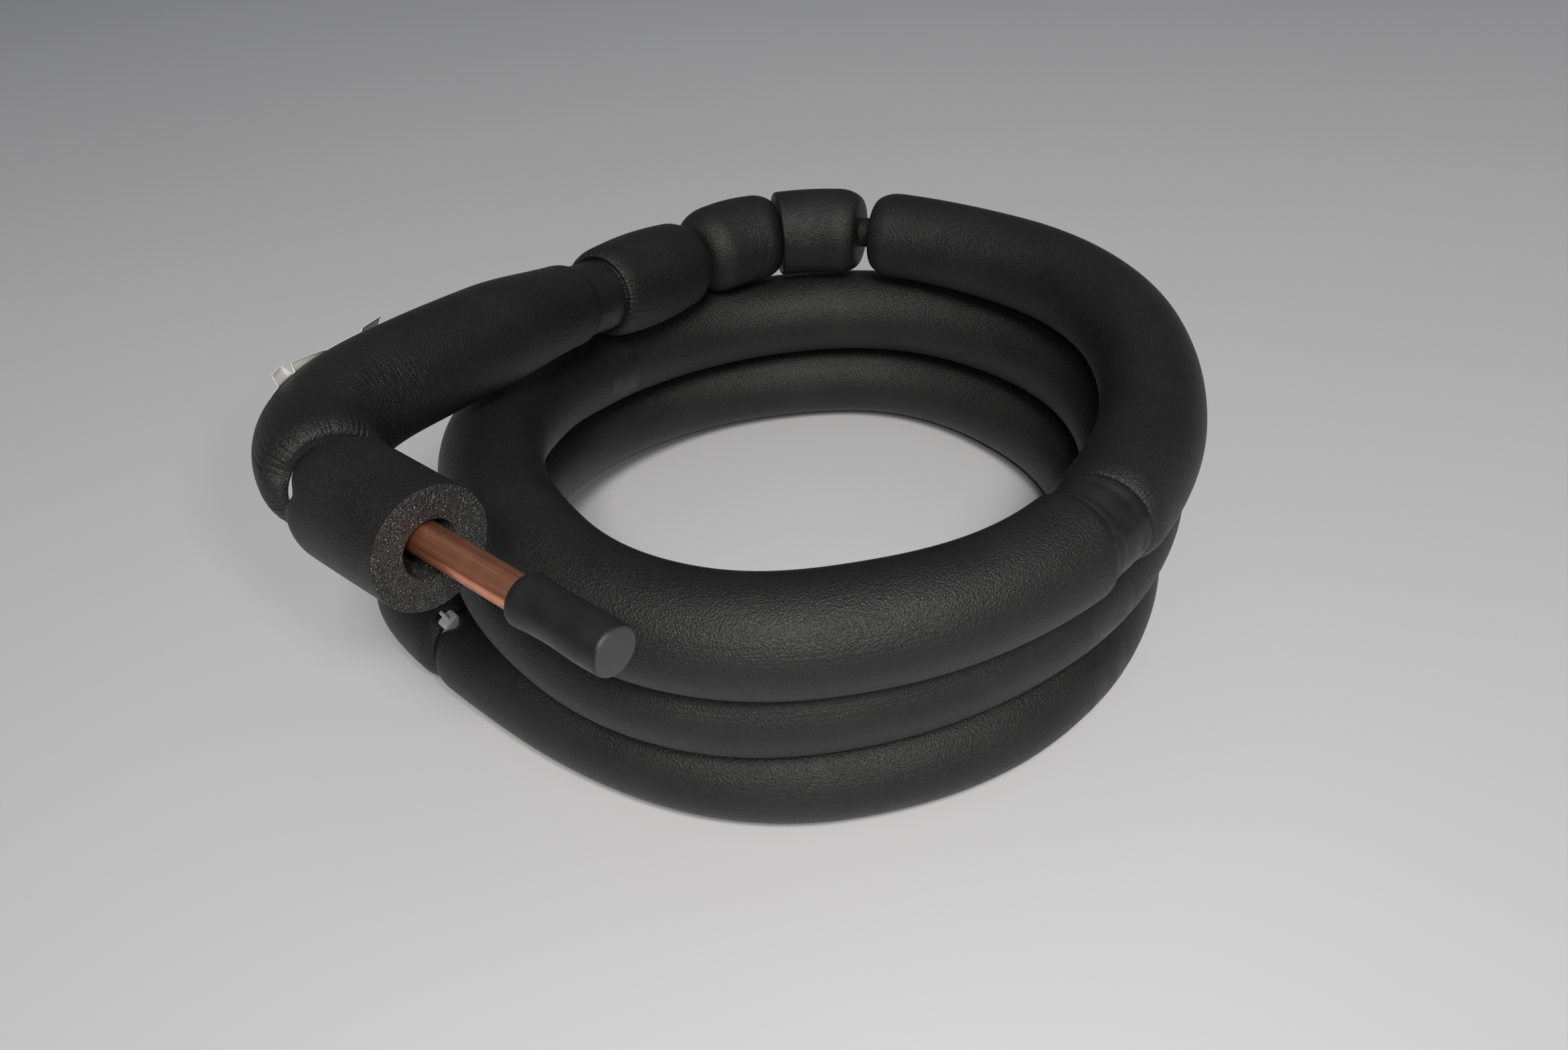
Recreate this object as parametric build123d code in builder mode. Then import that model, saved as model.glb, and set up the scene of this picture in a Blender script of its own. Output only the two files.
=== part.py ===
from build123d import *
import os
from math import cos, radians, sin, tan

# A coil of soft copper tube in black foam sleeves. The tube comes down in three turns, and its sleeves meet at
# necks that are tied, taped or left bare. Lengths are in millimetres. The route is laid out about the coil's axis,
# and the finished pieces are moved so that the origin is under the middle of the whole.
# A bearing is an angle about Z, clockwise from +Y as seen from above: 90 degrees is +X and 180 degrees is -Y.

# The copper tube
copper_diameter = 9.525
copper_wall = 0.81

# The foam sleeves
foam_bore = 15.9
foam_wall = 9.5
foam_diameter = foam_bore + 2 * foam_wall
cut_edge_rounding = 0.8
seat_clearance = 0.25
pinch_length = 14.0
neck_rounding = 9.5
barrel_rounding = 7.0
butt_rounding = 1.5
shoulder_length = 4.0
taped_length = 7.0
taped_depth = 3.4

# The cap on the free end
cap_length = 30.0
cap_wall = 1.6
cap_floor = 2.5
cap_rounding = 1.2
cap_clearance = 0.1
bare_length = 36.0

# The stub of bare tube at the floor end
stub_length = 32.0

# The turns of the coil
coil_radius = 115.0
layer_gap = 0.9
layer_pitch = foam_diameter + layer_gap
corners_per_turn = 8
corner_step = 360 / corners_per_turn

# Corners of the turns, as shares of the coil's radius, from the top turn down. Each turn starts at the back.
turn_radius_shares = (
    (0.95, 0.995, 0.97, 1.065, 1.16, 1.01, 0.93, 0.95),
    (0.99, 0.995, 0.955, 0.95, 1.075, 1.04, 1.02, 1.01),
    (1.02, 0.965, 0.925, 0.945, 1.03),
)
# How far each corner of a turn has come down towards the layer below, as shares of the layer's pitch
drop_shares = (0, 0, 0, 0, 0, 0, 0.64, 1)
# Corners of the two loose ends: bearing, distance outside the coil's radius as a share of the foam's diameter, and
# height above the bottom turn as a share of the layer's pitch
free_end_shares = (
    (197.8, 1.87, 3.16),
    (243.0, 1.75, 3.11),
    (275.0, -0.25, 2.65),
    (315.3, -0.44, 2.09),
    (351.2, 0.27, 1.97),
)
floor_end_shares = (
    (258.2, 1.10, 0.00),
    (282.0, 1.35, 0.00),
)
# How much of the room at a corner its bend takes, on the coil and at the free end
coil_bend_share = 0.96
free_bend_share = 0.80

# Lengths of the short sleeves, and the gaps between sleeves
end_sleeve_length = 37.0
barrel_lengths = (60.5, 39.5, 33.0)
neck_gap = 3.0
tied_gap = 7.5
tied_bend_gap = 8.3
bare_neck_gap = 7.0
butt_gap = 0.8
# The long sleeves share what is left of the tube. The last one takes the rest.
bend_sleeve_share = 0.076
top_sleeve_shares = (0.117, 0.161)
middle_sleeve_share = 0.176
bottom_sleeve_shares = (0.336, 0.110)

# The tape at the joints
tape_thickness = 0.5
tape_clearance = 0.35
wide_tape_width = 16.0
band_tape_width = 22.0
thin_tape_thickness = 0.2
thin_tape_clearance = 0.1

# The cable ties
strap_width = 3.6
strap_thickness = 1.2
strap_clearance = 1.6
head_length = 6.5
head_width = 5.2
head_height = 4.6
head_rounding = 0.6
strap_stub_length = 4.0
free_tie_head_angle = 100.0
floor_tie_head_angle = 50.0

# The paper label on the far side of the bend sleeve
label_thickness = 0.25
label_clearance = 0.1
label_length = 44.0
label_angle = 100.0
label_start_angle = 135.0
label_place_share = 0.18

overrun = 1.0


def route_point(bearing, radius, layer_share):
    """A corner of the tube's route."""
    height = foam_diameter / 2 + layer_pitch * layer_share
    return Vector(radius * sin(radians(bearing)), radius * cos(radians(bearing)), height)


def loose_end(end_shares):
    """The corners of a loose end, which stands off from the coil."""
    return [
        route_point(bearing, coil_radius + foam_diameter * clear_share, layer_share)
        for bearing, clear_share, layer_share in end_shares
    ]


def route_corners():
    """All corners of the route, from the free end, down the turns, to the floor end."""
    corners = loose_end(free_end_shares)
    for turn, radius_shares in enumerate(turn_radius_shares):
        layer = len(turn_radius_shares) - 1 - turn
        for step, radius_share in enumerate(radius_shares):
            bearing = corner_step * (step + 1 / 2)
            corner_radius = coil_radius * radius_share / cos(radians(corner_step / 2))
            corners.append(route_point(bearing, corner_radius, layer - drop_shares[step]))
    return corners + loose_end(floor_end_shares)


def bend_radii(corners):
    """Tangent arcs at the corners, as large as fits, times a share. The last one ends where the bare stub begins."""
    radii = []
    for previous, corner, following in zip(corners, corners[1:], corners[2:]):
        before = corner - previous
        after = following - corner
        room = coil_bend_share * min(before.length, after.length) / 2
        if corner is corners[1]:
            room = free_bend_share * min(before.length, after.length) / 2
        if following is corners[-1]:
            room = after.length - stub_length
        radii.append(room / tan(radians(before.get_angle(after)) / 2))
    return radii


tube_corners = route_corners()
with BuildLine() as centreline:
    FilletPolyline(*tube_corners, radius=bend_radii(tube_corners))
route = centreline.wires()[0]


def run(start, finish, hang=0):
    """The stretch of the tube's centreline between two stations, measured along it from the free tip."""
    return route.trim(start / route.length, finish / route.length).moved(Location((0, 0, -hang)))


def station_plane(station, hang=0):
    """A plane square to the tube at a station, with its Z along the tube and its X level."""
    share = station / route.length
    along = route % share
    level = along.cross(Vector(0, 0, 1))
    return Plane(origin=route @ share - Vector(0, 0, hang), x_dir=level, z_dir=along)


def end_edge(part, place, radius):
    """The outer edge of a round end face, found by its centre and radius."""
    rims = part.edges().filter_by(GeomType.CIRCLE).filter_by(lambda edge: abs(edge.radius - radius) < seat_clearance)
    return rims.sort_by(lambda edge: (edge.arc_center - place).length)[0]


def add_sleeve_end(shape, body_station, end_station, hang):
    """Closes a sleeve from the plane where its full girth stops to its end: a shoulder and a neck, or a round rim."""
    rim = foam_diameter / 2
    size = abs(end_station - body_station)
    way = 1 if end_station > body_station else -1
    plane = station_plane(body_station, hang)
    outward = plane.z_dir * way
    if shape == "shoulder":
        neck_station = body_station + shoulder_length * way
        with BuildSketch(plane) as wide:
            Circle(rim)
        with BuildSketch(station_plane(neck_station, hang)) as narrow:
            Circle(rim - taped_depth)
        loft([wide.sketch, narrow.sketch], ruled=True)
        neck_run = run(min(neck_station, end_station), max(neck_station, end_station), hang)
        with BuildSketch(station_plane(min(neck_station, end_station), hang)) as neck:
            Circle(rim - taped_depth)
        sweep(neck.sketch, path=neck_run)
        return
    with BuildSketch(Plane(origin=plane.origin, x_dir=plane.x_dir, z_dir=plane.x_dir.cross(outward))) as profile:
        with BuildLine():
            CenterArc((rim - size, 0), size, 0, 90)
            Polyline((rim - size, size), (0, size), (0, 0), (rim, 0))
        make_face()
    revolve(profile.sketch, axis=Axis(plane.origin, outward))


def make_sleeve(label, start, finish, ends, hang=0):
    """A foam sleeve with a wide bore, open at a cut end and closed in on the tube where an end is pinched."""
    (start_shape, start_size, start_pinch), (finish_shape, finish_size, finish_pinch) = ends
    body_start = start + start_size
    body_finish = finish - finish_size
    bore_start = start + start_pinch
    with BuildPart() as sleeve:
        with BuildSketch(station_plane(body_start, hang)):
            Circle(foam_diameter / 2)
        sweep(path=run(body_start, body_finish, hang))
        add_sleeve_end(start_shape, body_start, start, hang)
        add_sleeve_end(finish_shape, body_finish, finish, hang)
        with BuildSketch(station_plane(start - overrun)):
            Circle(copper_diameter / 2 + seat_clearance)
        sweep(path=run(start - overrun, finish + overrun), mode=Mode.SUBTRACT)
        with BuildSketch(station_plane(bore_start, hang)):
            Circle(foam_bore / 2)
        sweep(path=run(bore_start, finish - finish_pinch, hang), mode=Mode.SUBTRACT)
    sleeve.part.label = label
    return sleeve.part


def make_tape(label, station, width, inner_radius, thickness):
    """A band of tape around a joint."""
    start = station - width / 2
    with BuildPart() as tape:
        with BuildSketch(station_plane(start)):
            Circle(inner_radius + thickness)
            Circle(inner_radius, mode=Mode.SUBTRACT)
        sweep(path=run(start, start + width))
    tape.part.label = label
    return tape.part


def make_tie(label, station, head_angle, hang=0):
    """A cable tie in the groove between two round ends: its strap, its head and the cut stub of its tail."""
    reach = neck_rounding + (tied_gap - head_width) / 2
    groove = ((neck_rounding + strap_clearance) ** 2 - reach**2) ** 0.5
    strap_radius = foam_diameter / 2 - neck_rounding + groove
    plane = station_plane(station, hang)
    with BuildPart() as tie:
        with BuildSketch(plane.offset(-strap_width / 2)):
            Circle(strap_radius + strap_thickness)
            Circle(strap_radius, mode=Mode.SUBTRACT)
            with PolarLocations(strap_radius + head_height, 1, start_angle=head_angle):
                Rectangle(strap_stub_length * 2, strap_thickness)
        extrude(amount=strap_width)
        with BuildSketch(plane.offset(-head_width / 2)):
            with PolarLocations(strap_radius + (strap_thickness + head_height) / 2, 1, start_angle=head_angle):
                RectangleRounded(head_height, head_length, head_rounding)
        extrude(amount=head_width)
    tie.part.label = label
    return tie.part


# The joints between the sleeves, from the free end, by what is on them, with their gaps
joint_gaps = {
    "free_end_tie": tied_bend_gap,
    "bend_tape": neck_gap,
    "first_neck": neck_gap,
    "second_neck": neck_gap,
    "bare_neck": bare_neck_gap,
    "top_tape": neck_gap,
    "band_tape_1": butt_gap,
    "band_tape_2": butt_gap,
    "band_tape_3": butt_gap,
    "floor_end_tie": tied_gap,
}

# Stations along the tube
face_station = cap_length - cap_floor + bare_length
floor_face_station = route.length - stub_length
foam_run = floor_face_station - face_station - sum(joint_gaps.values())
shared_run = foam_run - end_sleeve_length - sum(barrel_lengths)
sleeve_lengths = [end_sleeve_length, bend_sleeve_share * shared_run, *barrel_lengths]
for sleeve_share in (*top_sleeve_shares, middle_sleeve_share, *bottom_sleeve_shares):
    sleeve_lengths.append(sleeve_share * shared_run)
sleeve_starts = [face_station]
joint_stations = {}
for sleeve_length, (joint, joint_gap) in zip(sleeve_lengths, joint_gaps.items()):
    joint_stations[joint] = sleeve_starts[-1] + sleeve_length + joint_gap / 2
    sleeve_starts.append(sleeve_starts[-1] + sleeve_length + joint_gap)
sleeve_finishes = [start + length for start, length in zip(sleeve_starts, sleeve_lengths)] + [floor_face_station]

# The kinds of end: shape, its length along the tube, and how far in from it the bore is closed on the tube
open_end = ("round", cut_edge_rounding, -overrun)
cut_end = ("round", cut_edge_rounding, pinch_length)
neck_end = ("round", neck_rounding, pinch_length)
barrel_end = ("round", barrel_rounding, pinch_length)
butt_end = ("round", butt_rounding, pinch_length)
taped_end = ("shoulder", shoulder_length + taped_length, pinch_length)

sleeve_table = {
    "end_sleeve": (open_end, neck_end),
    "bend_sleeve": (neck_end, taped_end),
    "barrel_sleeve_1": (taped_end, barrel_end),
    "barrel_sleeve_2": (barrel_end, barrel_end),
    "barrel_sleeve_3": (cut_end, barrel_end),
    "top_sleeve_1": (barrel_end, taped_end),
    "top_sleeve_2": (taped_end, butt_end),
    "middle_sleeve": (butt_end, butt_end),
    "bottom_sleeve_1": (butt_end, butt_end),
    "bottom_sleeve_2": (butt_end, neck_end),
    "floor_sleeve": (neck_end, open_end),
}

parts = []

# The copper tube, from inside the cap to the bare stub
with BuildPart() as copper_tube:
    with BuildSketch(station_plane(0)):
        Circle(copper_diameter / 2)
        Circle(copper_diameter / 2 - copper_wall, mode=Mode.SUBTRACT)
    sweep(path=route)
copper_tube.part.label = "copper_tube"
parts.append(copper_tube.part)

# The cap over the free tip
with BuildPart() as end_cap:
    cap_radius = copper_diameter / 2 + cap_clearance + cap_wall
    with BuildSketch(station_plane(0).offset(-cap_floor)):
        Circle(cap_radius)
    extrude(amount=cap_length)
    with BuildSketch(station_plane(0).offset(-cap_clearance)):
        Circle(copper_diameter / 2 + cap_clearance)
    extrude(amount=cap_length, mode=Mode.SUBTRACT)
    fillet(end_edge(end_cap, station_plane(0).offset(-cap_floor).origin, cap_radius), cap_rounding)
end_cap.part.label = "end_cap"
parts.append(end_cap.part)

# The foam sleeves in order along the tube. The end sleeve hangs from the tube by the top of its bore.
end_sleeve_hang = (foam_bore - copper_diameter) / 2 - 2 * seat_clearance
for (label, ends), start, finish in zip(sleeve_table.items(), sleeve_starts, sleeve_finishes):
    sleeve_hang = end_sleeve_hang if label == "end_sleeve" else 0
    parts.append(make_sleeve(label, start, finish, ends, sleeve_hang))

# Tape and ties at the joints
for label in ("bend_tape", "top_tape"):
    wide_tape_radius = foam_diameter / 2 - taped_depth + tape_clearance
    parts.append(make_tape(label, joint_stations[label], wide_tape_width, wide_tape_radius, tape_thickness))
for label in ("band_tape_1", "band_tape_2", "band_tape_3"):
    band_radius = foam_diameter / 2 + thin_tape_clearance
    parts.append(make_tape(label, joint_stations[label], band_tape_width, band_radius, thin_tape_thickness))
parts.append(make_tie("free_end_tie", joint_stations["free_end_tie"], free_tie_head_angle, end_sleeve_hang / 2))
parts.append(make_tie("floor_end_tie", joint_stations["floor_end_tie"], floor_tie_head_angle))

# The paper label, wrapped part of the way round the bend sleeve
label_station = sleeve_starts[1] + sleeve_lengths[1] * label_place_share
label_inner = foam_diameter / 2 + label_clearance
label_outer = label_inner + label_thickness
with BuildPart() as paper_label:
    with BuildSketch(station_plane(label_station)):
        with BuildLine():
            outer_arc = CenterArc((0, 0), label_outer, label_start_angle, label_angle)
            inner_arc = CenterArc((0, 0), label_inner, label_start_angle, label_angle)
            Line(outer_arc @ 0, inner_arc @ 0)
            Line(outer_arc @ 1, inner_arc @ 1)
        make_face()
    sweep(path=run(label_station, label_station + label_length))
paper_label.part.label = "paper_label"
parts.append(paper_label.part)

# The frame's origin is under the middle of everything, on the floor
extent = Compound(parts).bounding_box()
middle = extent.center()
to_frame = Location((-middle.X, -middle.Y, -extent.min.Z))
os.makedirs("parts", exist_ok=True)
for part in parts:
    export_step(part.moved(to_frame), f"parts/{part.label}.step")
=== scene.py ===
# %% [markdown]
# The object is one length of soft copper tube, pushed through short lengths of black foam and wound into
# three turns. It could be modelled as bent cylinders, but then every bend would look alike. Here the
# tube's line is one smooth spline, and each sleeve, tape and tie is a surface carried along a stretch of
# that line: a profile of radii along the tube, turned around it, with lumps, folds and creases added to
# the radii. Lengths are in metres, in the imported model's frame.

import bmesh
import bpy
import numpy as np
from mathutils import Matrix


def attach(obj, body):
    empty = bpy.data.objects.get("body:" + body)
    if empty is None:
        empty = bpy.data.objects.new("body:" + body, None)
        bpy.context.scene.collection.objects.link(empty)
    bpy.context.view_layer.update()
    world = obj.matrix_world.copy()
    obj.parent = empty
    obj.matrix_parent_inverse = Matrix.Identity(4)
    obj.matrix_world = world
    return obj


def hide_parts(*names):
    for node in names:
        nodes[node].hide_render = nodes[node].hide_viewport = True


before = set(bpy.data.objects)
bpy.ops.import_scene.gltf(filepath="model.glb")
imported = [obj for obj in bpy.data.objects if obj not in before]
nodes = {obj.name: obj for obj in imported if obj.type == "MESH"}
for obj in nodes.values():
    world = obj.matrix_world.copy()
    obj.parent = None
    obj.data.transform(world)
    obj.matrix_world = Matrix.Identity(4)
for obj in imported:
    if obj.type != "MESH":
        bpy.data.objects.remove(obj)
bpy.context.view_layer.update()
print("packed pieces:", len(nodes))

# %% [markdown]
# On the real coil the tube was bent by hand, so its turns differ in size and none is a true circle. A
# helix would be simple, but too even. So the corners are those of the part's source: a bearing, a share
# of the coil's radius and a layer. A spline rounds them all, and two points more keep its ends straight.

# %% The route's corners
foam_radius = 0.01745
copper_radius = 0.0047625
bore_radius = 0.00795
coil_radius = 0.115
layer_pitch = 0.0358
coil_axis = (0.02055, 0.02126)
floor_rise = 0.0003

# Shares of the coil's radius at the corners of each turn, from the top turn down
turn_radius_shares = (
    (0.95, 0.995, 0.97, 1.065, 1.16, 1.01, 0.93, 0.95),
    (0.99, 0.995, 0.955, 0.95, 1.075, 1.04, 1.02, 1.01),
    (1.02, 0.965, 0.925, 0.945, 1.03),
)
# How far each corner has come down towards the layer below, as shares of the pitch
drop_shares = (0, 0, 0, 0, 0, 0, 0.64, 1)
# Corners of the two loose ends: bearing, distance outside the coil in foam diameters, and layer
free_end_shares = (
    (197.8, 1.87, 3.16),
    (243.0, 1.75, 3.11),
    (275.0, -0.25, 2.65),
    (315.3, -0.44, 2.09),
    (351.2, 0.27, 1.97),
)
floor_end_shares = ((258.2, 1.10, 0.00), (282.0, 1.35, 0.00))
# Where each loose end has its added point, as a share of its first side
free_straight_share = 0.40
floor_straight_share = 0.50


def route_point(bearing, radius, layer_share):
    """A corner of the route: the coil's axis plus the radius times the sine and cosine of the bearing, which
    goes clockwise from +Y seen from above. Its height is one foam radius plus the layer."""
    turn = np.radians(bearing)
    height = foam_radius + layer_pitch * layer_share + floor_rise
    return np.array([coil_axis[0] + radius * np.sin(turn), coil_axis[1] + radius * np.cos(turn), height])


def loose_end(end_shares):
    """The corners of a loose end, which stands off from the coil by shares of the foam's diameter."""
    corners = []
    for bearing, share, layer in end_shares:
        corners.append(route_point(bearing, coil_radius + 2 * foam_radius * share, layer))
    return corners


def route_corners():
    """The spline's control points, from the free end, down the turns, to the floor end."""
    step = 360 / len(drop_shares)
    turns = []
    for turn, radius_shares in enumerate(turn_radius_shares):
        for corner, share in enumerate(radius_shares):
            radius = coil_radius * share / np.cos(np.radians(step / 2))
            layer = len(turn_radius_shares) - 1 - turn - drop_shares[corner]
            turns.append(route_point(step * (corner + 0.5), radius, layer))
    free = loose_end(free_end_shares)
    floor = loose_end(floor_end_shares)
    free.insert(1, free[0] + (free[1] - free[0]) * free_straight_share)
    floor.insert(1, floor[0] + (floor[1] - floor[0]) * floor_straight_share)
    return np.array(free + turns + floor)


print("corners of the route:", len(route_corners()))


# %% The spline through the corners
def read_rows(items, key):
    """One vector of each of a mesh's corners or faces, as rows."""
    values = np.empty(3 * len(items))
    items.foreach_get(key, values)
    return values.reshape(-1, 3)


def spline_points(control):
    """Points along a smooth spline with these control points, as Blender's own curve gives them."""
    curve = bpy.data.curves.new("route", "CURVE")
    curve.dimensions = "3D"
    spline = curve.splines.new("NURBS")
    spline.points.add(len(control) - 1)
    spline.points.foreach_set("co", np.c_[control, np.ones(len(control))].ravel())
    spline.order_u = 3
    spline.use_endpoint_u = True
    spline.resolution_u = 64
    guide = bpy.data.objects.new("route", curve)
    mesh = bpy.data.meshes.new_from_object(guide)
    points = read_rows(mesh.vertices, "co")
    bpy.data.objects.remove(guide)
    bpy.data.meshes.remove(mesh)
    return points


def unit(vectors):
    """The same directions with length one: each vector divided by its length."""
    return vectors / np.linalg.norm(vectors, axis=-1, keepdims=True)


def blurred(values, window):
    """A running mean along the first axis, with the ends held: differences of the running sum."""
    padded = np.concatenate([np.repeat(values[:1], window, 0), values, np.repeat(values[-1:], window, 0)])
    sums = np.cumsum(np.concatenate([np.zeros_like(padded[:1]), padded]), axis=0)
    means = (sums[2 * window + 1:] - sums[:-2 * window - 1]) / (2 * window + 1)
    return means[: len(values)]


line_step = 0.0005
direction_window = 8
bend_window = 24
raw_line = spline_points(route_corners())
raw_stations = np.r_[0, np.cumsum(np.linalg.norm(np.diff(raw_line, axis=0), axis=1))]
line_stations = np.arange(0, raw_stations[-1], line_step)
line = np.stack([np.interp(line_stations, raw_stations, raw_line[:, axis]) for axis in range(3)], axis=1)
along = unit(blurred(np.gradient(line, line_step, axis=0), direction_window))
bend = blurred(np.gradient(along, line_step, axis=0), bend_window)
side = unit(np.cross(along, [0, 0, 1]))
above = np.cross(side, along)
print("length of the tube:", round(float(line_stations[-1]), 3))


# %% Anything along the line
def on_line(values, stations):
    """Values that are known along the line, at any stations. Past the ends, the line goes straight on."""
    inside = np.clip(stations, 0, line_stations[-1])
    found = np.stack([np.interp(inside, line_stations, values[:, axis]) for axis in range(3)], axis=-1)
    if values is line:
        found = found + (stations - inside)[..., None] * on_line(along, inside)
    return found


def turned(stations, radii, angles, hang=0.0):
    """Points around the line: its point, plus the radius times the cosine of the angle to the inner side of
    the coil and the sine upwards. Hang lowers a loose piece."""
    centre = on_line(line, stations)[:, None] - np.array([0, 0, hang])
    across = on_line(side, stations)[:, None] * np.cos(angles)[None, :, None]
    upward = on_line(above, stations)[:, None] * np.sin(angles)[None, :, None]
    return centre + radii[..., None] * (across + upward)


def ring_angles(count):
    """Even angles around the tube: a whole turn in that many steps, without its last angle."""
    return np.linspace(0, 2 * np.pi, count, endpoint=False)


print("free tip of the tube:", np.round(on_line(line, np.array(0.0)), 4))

# %% [markdown]
# On the coil each sleeve, band and tie covers its own stretch of the tube. The stations could be typed
# in, but would be wrong after a change to the part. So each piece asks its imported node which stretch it
# covers: every corner of the node's mesh is put to the nearest point of the line.

# %% The stretch of a node
sleeve_reach = 0.0115
thin_reach = 0.0200
coarse_step = 4
chunk_count = 40


def span(name, reach):
    """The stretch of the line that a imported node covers, from its corners within reach of the line. A corner
    of a thin band can be nearer to the next turn's line, so for a thin piece the corners far from the middle
    one are left out."""
    coarse = slice(None, None, coarse_step)
    stations = []
    for chunk in np.array_split(read_rows(nodes[name].data.vertices, "co"), chunk_count):
        if not len(chunk):
            continue
        gaps = np.linalg.norm(chunk[:, None] - line[None, coarse], axis=2)
        nearest = gaps.argmin(axis=1)
        offset = np.einsum("pk,pk->p", chunk - line[coarse][nearest], along[coarse][nearest])
        near = gaps.min(axis=1) < reach
        stations.append((line_stations[coarse][nearest] + offset)[near])
    stations = np.concatenate(stations)
    if reach > foam_radius:
        stations = stations[np.abs(stations - np.median(stations)) < foam_radius * 2]
    return stations.min(), stations.max()


print("end sleeve covers:", np.round(span("end_sleeve", sleeve_reach), 4))

# %% [markdown]
# A bent tube is a sheet rolled up, so each surface is a grid with rows along the tube and columns around
# it. Extruding and editing faces would also make it, but a grid can be worked out all at once. The UV
# map holds the station along the tube and the turn around it, so that a pattern can follow the surface.

# %% From grids to a mesh
weld_gap = 0.000002


def grid_quads(rows, columns, closed, offset):
    """Corner numbers of a grid's faces. A closed grid joins its last column to its first."""
    index = np.arange(rows * columns).reshape(rows, columns) + offset
    here = index if closed else index[:, :-1]
    there = np.roll(index, -1, axis=1) if closed else index[:, 1:]
    return np.stack([here[:-1], here[1:], there[1:], there[:-1]], axis=-1).reshape(-1, 4)


def grid_uv(stations, angles, closed):
    """A grid's UV corners, in the order of its faces: the station, and the angle as a share of a turn."""
    wide = len(angles) if closed else len(angles) - 1
    shape = (len(stations) - 1, wide)
    low = np.broadcast_to(stations[:-1, None], shape)
    high = np.broadcast_to(stations[1:, None], shape)
    start = np.broadcast_to(angles[:wide] / (2 * np.pi), shape)
    end = start + (angles[1] - angles[0]) / (2 * np.pi)
    u = np.stack([low, high, high, low], axis=-1)
    v = np.stack([start, start, end, end], axis=-1)
    return np.stack([u, v], axis=-1).reshape(-1, 2)


def add_mesh(name, grids, closed=True, attributes=None, weld=False):
    """A smooth mesh from grids of (points, stations, angles), with values kept on its points."""
    offsets = np.cumsum([0] + [grid[0].shape[0] * grid[0].shape[1] for grid in grids])
    points = np.concatenate([grid[0].reshape(-1, 3) for grid in grids])
    quads = [grid_quads(*grid[0].shape[:2], closed, offset) for grid, offset in zip(grids, offsets)]
    mesh = bpy.data.meshes.new(name)
    mesh.from_pydata(points.tolist(), [], np.concatenate(quads).tolist())
    layer = mesh.uv_layers.new(name="along_around")
    layer.data.foreach_set("uv", np.concatenate([grid_uv(*grid[1:], closed) for grid in grids]).ravel())
    for label, values in (attributes or {}).items():
        held = mesh.attributes.new(label, "FLOAT", "POINT")
        held.data.foreach_set("value", np.ascontiguousarray(values, dtype=np.float32).ravel())
    mesh.polygons.foreach_set("use_smooth", np.ones(len(mesh.polygons), dtype=bool))
    mesh.update()
    if weld:
        welded = bmesh.new()
        welded.from_mesh(mesh)
        bmesh.ops.remove_doubles(welded, verts=welded.verts, dist=weld_gap)
        welded.to_mesh(mesh)
        welded.free()
    piece = bpy.data.objects.new(name, mesh)
    bpy.context.scene.collection.objects.link(piece)
    return piece


def settle(piece, name, material):
    """Puts a finished piece in the place of its node, with its finish."""
    piece.data.materials.append(material)
    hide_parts(name)
    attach(piece, "root")


print("faces of a ring of three rows by four:", len(grid_quads(3, 4, True, 0)))

# %% [markdown]
# Nothing on this object is quite even. A displacement with a noise texture could stir the surface, but
# could not follow the bends. So two smooth random lines serve everywhere, one along the tube and one
# around it: random values at even places, joined by smooth steps. The seeds are fixed, so every run is
# the same.

# %% Smooth random lines
pick_count = 4096
pick_shift = 100


def smooth_step(values, low, high):
    """0 below low, 1 above high, and between them 3 s squared minus 2 s cubed, s being the share of the
    way."""
    share = np.clip((values - low) / (high - low), 0, 1)
    return share * share * (3 - 2 * share)


def joined(place, count, seed):
    """That many random values from -1 to 1, one at each whole place, joined by smooth steps."""
    picks = np.random.default_rng(seed).uniform(-1, 1, count)
    first = np.floor(place).astype(int)
    share = smooth_step(place - first, 0, 1)
    return picks[first % count] * (1 - share) + picks[(first + 1) % count] * share


def wander(stations, spacing, seed):
    """A smooth random line along the tube: a value at each multiple of the spacing."""
    return joined(np.asarray(stations) / spacing + pick_shift, pick_count, seed)


def ring_wander(angles, count, seed):
    """A smooth random line around the tube: that many values in a turn."""
    return joined(angles / (2 * np.pi) * count, count, seed)


print("a line along the tube:", np.round(wander(np.array([0.0, 0.1, 0.2]), 0.05, 1), 2))

# %% [markdown]
# The finishes are patterns: sums of noises that set colour, gloss and relief. They could be wired in the
# shader editor, but a script of nodes and links is hard to read. So a small class wraps a socket, and
# Python's own operators add the math nodes.


# %% Sockets as terms
class Term:
    """A socket of a material's tree, for use in sums."""

    def __init__(self, paint, socket):
        self.paint = paint
        self.socket = socket

    def math(self, operation, other):
        """A math node on this value and another."""
        return self.paint.node("ShaderNodeMath", {"operation": operation}, {0: self, 1: other})

    def __add__(self, other):
        """This value plus another."""
        return self.math("ADD", other)

    def __mul__(self, other):
        """This value times another."""
        return self.math("MULTIPLY", other)

    def ranged(self, low, high, to_low=0.0, to_high=1.0):
        """The value mapped from one range to another by a smooth step, and held at its ends."""
        inputs = {"From Min": low, "From Max": high, "To Min": to_low, "To Max": to_high, "Value": self}
        return self.paint.node("ShaderNodeMapRange", {"interpolation_type": "SMOOTHSTEP"}, inputs)


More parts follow.
